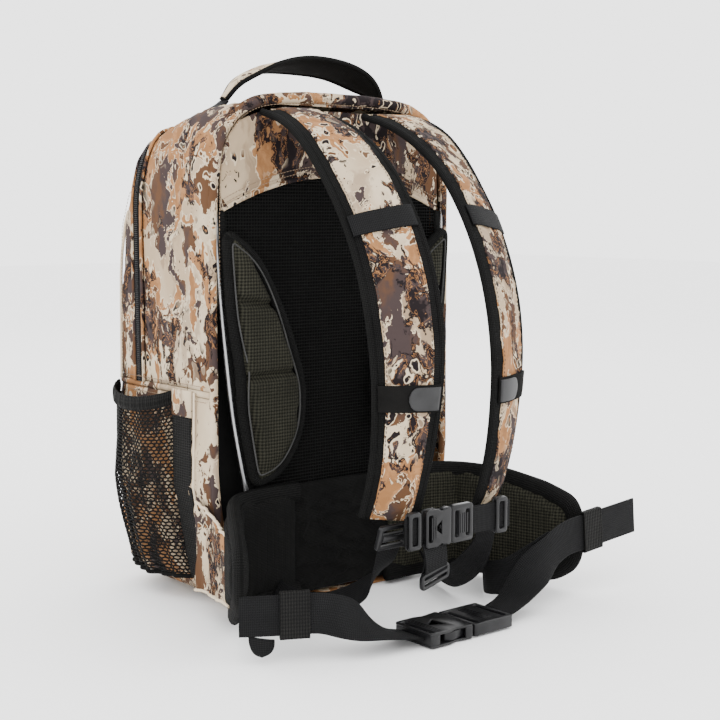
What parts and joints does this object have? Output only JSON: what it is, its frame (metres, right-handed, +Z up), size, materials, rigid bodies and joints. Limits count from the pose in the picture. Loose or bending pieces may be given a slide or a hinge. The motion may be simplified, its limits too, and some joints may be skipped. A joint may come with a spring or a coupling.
{
  "type": "tackle backpack",
  "caption": "Camouflage tackle backpack with suspended mesh back, tray bay, side net pockets, padded shoulder straps, sternum strap and padded hip belt.",
  "frame": {"origin": "centre of the flat base, on the ground", "axes": "+Z up, +Y towards the front of the pack away from the wearer, +X to the wearer's right seen from behind the back panel"},
  "size_m": [0.4538, 0.393, 0.5199],
  "materials": {
    "camo_fabric": "matt woven polyester, printed",
    "pad_mesh": "padded spacer mesh",
    "open_mesh": "open net",
    "webbing": "ribbed woven tape",
    "lining": "coated lining cloth",
    "black_plastic": "satin moulded",
    "frame_steel": "plated spring wire",
    "slider_metal": "black lacquered",
    "base_plastic": "plain sheet"
  },
  "bodies": {
    "pack": {"base_panel": "camo_fabric", "lower_side_left": "camo_fabric", "lower_side_right": "camo_fabric", "upper_gusset": "camo_fabric", "top_roll": "camo_fabric", "top_yoke": "camo_fabric", "wing_gore_left": "camo_fabric", "wing_gore_right": "camo_fabric", "shoulder_strap_left": "camo_fabric", "shoulder_strap_right": "camo_fabric", "divider_panel": "lining", "back_wall": "lining", "back_pad_left": "pad_mesh", "back_pad_right": "pad_mesh", "hip_wing_left": "pad_mesh", "hip_wing_right": "pad_mesh", "mesh_back_panel": "open_mesh", "side_pocket_left": "open_mesh", "side_pocket_right": "open_mesh", "pocket_binding_left": "webbing", "pocket_binding_right": "webbing", "gusset_band_left": "webbing", "gusset_band_right": "webbing", "belt_webbing_left": "webbing", "strap_bar_left": "webbing", "strap_bar_right": "webbing", "loop_patch_left": "webbing", "loop_patch_right": "webbing", "strap_webbing_left": "webbing", "strap_webbing_right": "webbing", "zip_tape_rear": "webbing", "belt_buckle_female": "black_plastic", "ladder_lock_left": "black_plastic", "ladder_lock_right": "black_plastic", "frame_wire": "frame_steel", "base_board": "base_plastic"},
    "lid": {"lid_gusset": "camo_fabric", "lid_front_panel": "camo_fabric", "front_pocket": "camo_fabric", "zip_tape_front": "webbing"},
    "tray_door": {"tray_door_panel": "camo_fabric"},
    "handle": {"grab_handle": "camo_fabric"},
    "sternum_left": {"sternum_clip_left": "black_plastic", "sternum_webbing_left": "webbing", "sternum_buckle_female": "black_plastic"},
    "sternum_right": {"sternum_clip_right": "black_plastic"},
    "sternum_male": {"sternum_buckle_male": "black_plastic", "sternum_webbing_right": "webbing"},
    "belt_right": {"belt_buckle_male": "black_plastic", "belt_webbing_right": "webbing"},
    "keeper_left": {"belt_keeper_left": "webbing"},
    "keeper_right": {"belt_keeper_right": "webbing"},
    "tab_left": {"strap_tab_left": "black_plastic"},
    "tab_right": {"strap_tab_right": "black_plastic"},
    "main_slider": {"main_zip_slider": "slider_metal"},
    "main_pull": {"main_zip_pull": "black_plastic"},
    "pocket_slider": {"pocket_zip_slider": "slider_metal"},
    "tray_slider": {"tray_zip_slider": "slider_metal"}
  },
  "joints": [
    {"name": "lid_open", "type": "hinge", "parent": "pack", "child": "lid", "pos_m": [0, 0.0906, 0.2122], "axis": [-1, 0, 0], "range_deg": [0, 95]},
    {"name": "tray_door_open", "type": "hinge", "parent": "pack", "child": "tray_door", "pos_m": [0, 0.0964, 0.024], "axis": [-1, 0, 0], "range_deg": [0, 90]},
    {"name": "handle_swing", "type": "hinge", "parent": "pack", "child": "handle", "pos_m": [0, -0.044, 0.477], "axis": [1, 0, 0], "range_deg": [-50, 50]},
    {"name": "sternum_height", "type": "slide", "parent": "pack", "child": "sternum_left", "axis": [0, -0.295, 0.9555], "range_m": [0, 0.06]},
    {"name": "sternum_height_right", "type": "slide", "parent": "pack", "child": "sternum_right", "axis": [0, -0.295, 0.9555], "range_m": [0, 0.06]},
    {"name": "sternum_release", "type": "slide", "parent": "sternum_right", "child": "sternum_male", "axis": [1, 0, 0], "range_m": [0, 0.022]},
    {"name": "belt_release", "type": "slide", "parent": "pack", "child": "belt_right", "axis": [1, 0, 0], "range_m": [0, 0.038]},
    {"name": "keeper_left_slide", "type": "slide", "parent": "pack", "child": "keeper_left", "axis": [0.8947, -0.4466, 0], "range_m": [-0.005, 0.006]},
    {"name": "keeper_right_slide", "type": "slide", "parent": "belt_right", "child": "keeper_right", "axis": [0.996, 0, 0.0893], "range_m": [-0.02, 0.03]},
    {"name": "tab_left_lift", "type": "hinge", "parent": "pack", "child": "tab_left", "pos_m": [-0.0399, -0.2795, 0.217], "axis": [0, -0.05, 0.9987], "range_deg": [0, 110]},
    {"name": "tab_right_lift", "type": "hinge", "parent": "pack", "child": "tab_right", "pos_m": [0.0399, -0.2795, 0.217], "axis": [0, 0.05, -0.9987], "range_deg": [0, 110]},
    {"name": "main_zip_slide", "type": "slide", "parent": "pack", "child": "main_slider", "axis": [0, 0, 1], "range_m": [0, 0.1]},
    {"name": "main_pull_swing", "type": "hinge", "parent": "main_slider", "child": "main_pull", "pos_m": [0.14945, 0.0345, 0.258], "axis": [0, -1, 0], "range_deg": [0, 90]},
    {"name": "pocket_zip_slide", "type": "slide", "parent": "lid", "child": "pocket_slider", "axis": [1, 0, 0], "range_m": [0, 0.144]},
    {"name": "tray_zip_slide", "type": "slide", "parent": "tray_door", "child": "tray_slider", "axis": [1, 0, 0], "range_m": [0, 0.18]}
  ],
  "couplings": [
    {"joint": "sternum_height_right", "follows": "sternum_height", "ratio": 1}
  ]
}
